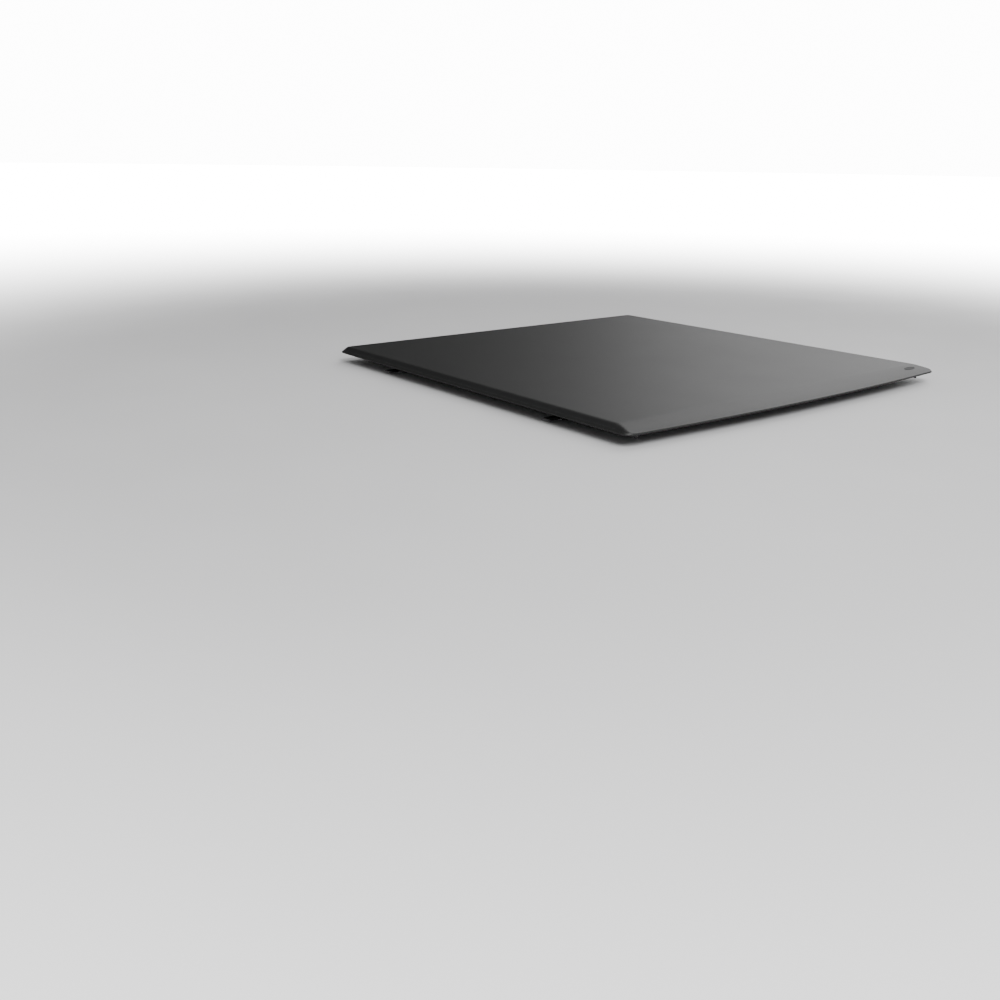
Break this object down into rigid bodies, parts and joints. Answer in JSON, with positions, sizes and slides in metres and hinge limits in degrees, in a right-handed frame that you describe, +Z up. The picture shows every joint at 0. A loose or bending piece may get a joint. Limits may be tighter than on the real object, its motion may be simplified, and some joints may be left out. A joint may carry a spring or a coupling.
{
  "type": "soft roll-up tonneau cover",
  "caption": "Black soft roll-up tonneau cover for a short pickup bed: vinyl top on side rails and crossbows, with headers, rear latches and rail clamps.",
  "frame": {"origin": "middle of the plane in which the cover rests on the tops of the truck bed walls", "axes": "+Z up, +Y towards the cab, +X to the right side of the truck"},
  "size_m": [1.457, 1.473, 0.0551],
  "materials": {
    "vinyl": "satin fine-grained coated vinyl",
    "black_aluminium": "satin black powder coat",
    "bow_aluminium": "mill finish extrusion",
    "zinc_steel": "zinc plated",
    "black_steel": "black e-coat",
    "plastic": "moulded, lightly textured",
    "rubber": "matt",
    "webbing": "woven polyester"
  },
  "bodies": {
    "bed_frame": {"bulkhead_seal": "rubber", "clamp_1_bracket": "zinc_steel", "clamp_2_bracket": "zinc_steel", "clamp_3_bracket": "zinc_steel", "clamp_4_bracket": "zinc_steel", "front_corner_left": "black_aluminium", "front_corner_right": "black_aluminium", "front_header": "black_aluminium", "rail_seal_left": "rubber", "rail_seal_right": "rubber", "side_rail_left": "black_aluminium", "side_rail_right": "black_aluminium", "storage_strap_left": "webbing", "storage_strap_right": "webbing", "striker_left": "zinc_steel", "striker_right": "zinc_steel", "vinyl_section_00": "vinyl"},
    "roll_section_01": {"vinyl_section_01": "vinyl"},
    "roll_section_02": {"vinyl_section_02": "vinyl", "crossbow_1": "bow_aluminium", "crossbow_1_cap_left": "plastic", "crossbow_1_cap_right": "plastic"},
    "roll_section_03": {"vinyl_section_03": "vinyl"},
    "roll_section_04": {"vinyl_section_04": "vinyl", "crossbow_2": "bow_aluminium", "crossbow_2_cap_left": "plastic", "crossbow_2_cap_right": "plastic"},
    "roll_section_05": {"vinyl_section_05": "vinyl"},
    "roll_section_06": {"vinyl_section_06": "vinyl", "crossbow_3": "bow_aluminium", "crossbow_3_cap_left": "plastic", "crossbow_3_cap_right": "plastic"},
    "roll_section_07": {"vinyl_section_07": "vinyl"},
    "roll_section_08": {"vinyl_section_08": "vinyl", "crossbow_4": "bow_aluminium", "crossbow_4_cap_left": "plastic", "crossbow_4_cap_right": "plastic"},
    "roll_section_09": {"vinyl_section_09": "vinyl"},
    "roll_section_10": {"vinyl_section_10": "vinyl", "plain_oval_patch": "vinyl", "rear_header": "black_aluminium", "tailgate_seal": "rubber", "rear_corner_left": "plastic", "rear_corner_right": "plastic", "latch_housing_left": "plastic", "latch_housing_right": "plastic"},
    "lever_left": {"latch_lever_left": "black_steel"},
    "bolt_left": {"latch_bolt_left": "zinc_steel"},
    "lever_right": {"latch_lever_right": "black_steel"},
    "bolt_right": {"latch_bolt_right": "zinc_steel"},
    "knob_left": {"tension_knob_left": "plastic"},
    "knob_right": {"tension_knob_right": "plastic"},
    "clamp_jaw_1": {"clamp_1_jaw": "zinc_steel"},
    "clamp_screw_1": {"clamp_1_screw": "zinc_steel"},
    "clamp_jaw_2": {"clamp_2_jaw": "zinc_steel"},
    "clamp_screw_2": {"clamp_2_screw": "zinc_steel"},
    "clamp_jaw_3": {"clamp_3_jaw": "zinc_steel"},
    "clamp_screw_3": {"clamp_3_screw": "zinc_steel"},
    "clamp_jaw_4": {"clamp_4_jaw": "zinc_steel"},
    "clamp_screw_4": {"clamp_4_screw": "zinc_steel"}
  },
  "joints": [
    {"name": "roll_01", "type": "hinge", "parent": "bed_frame", "child": "roll_section_01", "pos_m": [0, 0.568, 0.022], "axis": [-1, 0, 0], "range_deg": [0, 90]},
    {"name": "roll_02", "type": "hinge", "parent": "roll_section_01", "child": "roll_section_02", "pos_m": [0, 0.408, 0.022], "axis": [-1, 0, 0], "range_deg": [0, 90]},
    {"name": "roll_03", "type": "hinge", "parent": "roll_section_02", "child": "roll_section_03", "pos_m": [0, 0.248, 0.022], "axis": [-1, 0, 0], "range_deg": [0, 90]},
    {"name": "roll_04", "type": "hinge", "parent": "roll_section_03", "child": "roll_section_04", "pos_m": [0, 0.102, 0.022], "axis": [-1, 0, 0], "range_deg": [0, 90]},
    {"name": "roll_05", "type": "hinge", "parent": "roll_section_04", "child": "roll_section_05", "pos_m": [0, -0.044, 0.022], "axis": [-1, 0, 0], "range_deg": [0, 90]},
    {"name": "roll_06", "type": "hinge", "parent": "roll_section_05", "child": "roll_section_06", "pos_m": [0, -0.176, 0.022], "axis": [-1, 0, 0], "range_deg": [0, 90]},
    {"name": "roll_07", "type": "hinge", "parent": "roll_section_06", "child": "roll_section_07", "pos_m": [0, -0.308, 0.022], "axis": [-1, 0, 0], "range_deg": [0, 90]},
    {"name": "roll_08", "type": "hinge", "parent": "roll_section_07", "child": "roll_section_08", "pos_m": [0, -0.426, 0.022], "axis": [-1, 0, 0], "range_deg": [0, 90]},
    {"name": "roll_09", "type": "hinge", "parent": "roll_section_08", "child": "roll_section_09", "pos_m": [0, -0.544, 0.022], "axis": [-1, 0, 0], "range_deg": [0, 90]},
    {"name": "roll_10", "type": "hinge", "parent": "roll_section_09", "child": "roll_section_10", "pos_m": [0, -0.624, 0.022], "axis": [-1, 0, 0], "range_deg": [0, 90]},
    {"name": "latch_bolt_left", "type": "slide", "parent": "roll_section_10", "child": "bolt_left", "axis": [1, 0, 0], "range_m": [0, 0.0095], "stiffness_N_per_m": 150},
    {"name": "latch_lever_left", "type": "hinge", "parent": "roll_section_10", "child": "lever_left", "pos_m": [-0.632, -0.642, -0.011], "axis": [0, 0, 1], "range_deg": [0, 27.3]},
    {"name": "latch_bolt_right", "type": "slide", "parent": "roll_section_10", "child": "bolt_right", "axis": [-1, 0, 0], "range_m": [0, 0.0095], "stiffness_N_per_m": 150},
    {"name": "latch_lever_right", "type": "hinge", "parent": "roll_section_10", "child": "lever_right", "pos_m": [0.632, -0.642, -0.011], "axis": [0, 0, -1], "range_deg": [0, 27.3]},
    {"name": "tension_knob_left", "type": "hinge", "parent": "bed_frame", "child": "knob_left", "pos_m": [-0.657, 0.63, 0.01], "axis": [0, 1, 0], "range_deg": [0, 720]},
    {"name": "tension_knob_right", "type": "hinge", "parent": "bed_frame", "child": "knob_right", "pos_m": [0.657, 0.63, 0.01], "axis": [0, 1, 0], "range_deg": [0, 720]},
    {"name": "clamp_1_screw", "type": "hinge", "parent": "clamp_jaw_1", "child": "clamp_screw_1", "pos_m": [-0.657, 0.45, -0.026], "axis": [0, 0, 1], "range_deg": [0, 3457]},
    {"name": "clamp_1_jaw", "type": "slide", "parent": "bed_frame", "child": "clamp_jaw_1", "axis": [0, 0, -1], "range_m": [0, 0.012]},
    {"name": "clamp_2_screw", "type": "hinge", "parent": "clamp_jaw_2", "child": "clamp_screw_2", "pos_m": [-0.657, -0.37, -0.026], "axis": [0, 0, 1], "range_deg": [0, 3457]},
    {"name": "clamp_2_jaw", "type": "slide", "parent": "bed_frame", "child": "clamp_jaw_2", "axis": [0, 0, -1], "range_m": [0, 0.012]},
    {"name": "clamp_3_screw", "type": "hinge", "parent": "clamp_jaw_3", "child": "clamp_screw_3", "pos_m": [0.657, 0.45, -0.026], "axis": [0, 0, 1], "range_deg": [0, 3457]},
    {"name": "clamp_3_jaw", "type": "slide", "parent": "bed_frame", "child": "clamp_jaw_3", "axis": [0, 0, -1], "range_m": [0, 0.012]},
    {"name": "clamp_4_screw", "type": "hinge", "parent": "clamp_jaw_4", "child": "clamp_screw_4", "pos_m": [0.657, -0.37, -0.026], "axis": [0, 0, 1], "range_deg": [0, 3457]},
    {"name": "clamp_4_jaw", "type": "slide", "parent": "bed_frame", "child": "clamp_jaw_4", "axis": [0, 0, -1], "range_m": [0, 0.012]}
  ],
  "couplings": [
    {"joint": "latch_lever_left", "follows": "latch_bolt_left", "rad_per_m": 50},
    {"joint": "latch_lever_right", "follows": "latch_bolt_right", "rad_per_m": 50},
    {"joint": "clamp_1_screw", "follows": "clamp_1_jaw", "rad_per_m": 5026.5},
    {"joint": "clamp_2_screw", "follows": "clamp_2_jaw", "rad_per_m": 5026.5},
    {"joint": "clamp_3_screw", "follows": "clamp_3_jaw", "rad_per_m": 5026.5},
    {"joint": "clamp_4_screw", "follows": "clamp_4_jaw", "rad_per_m": 5026.5}
  ]
}
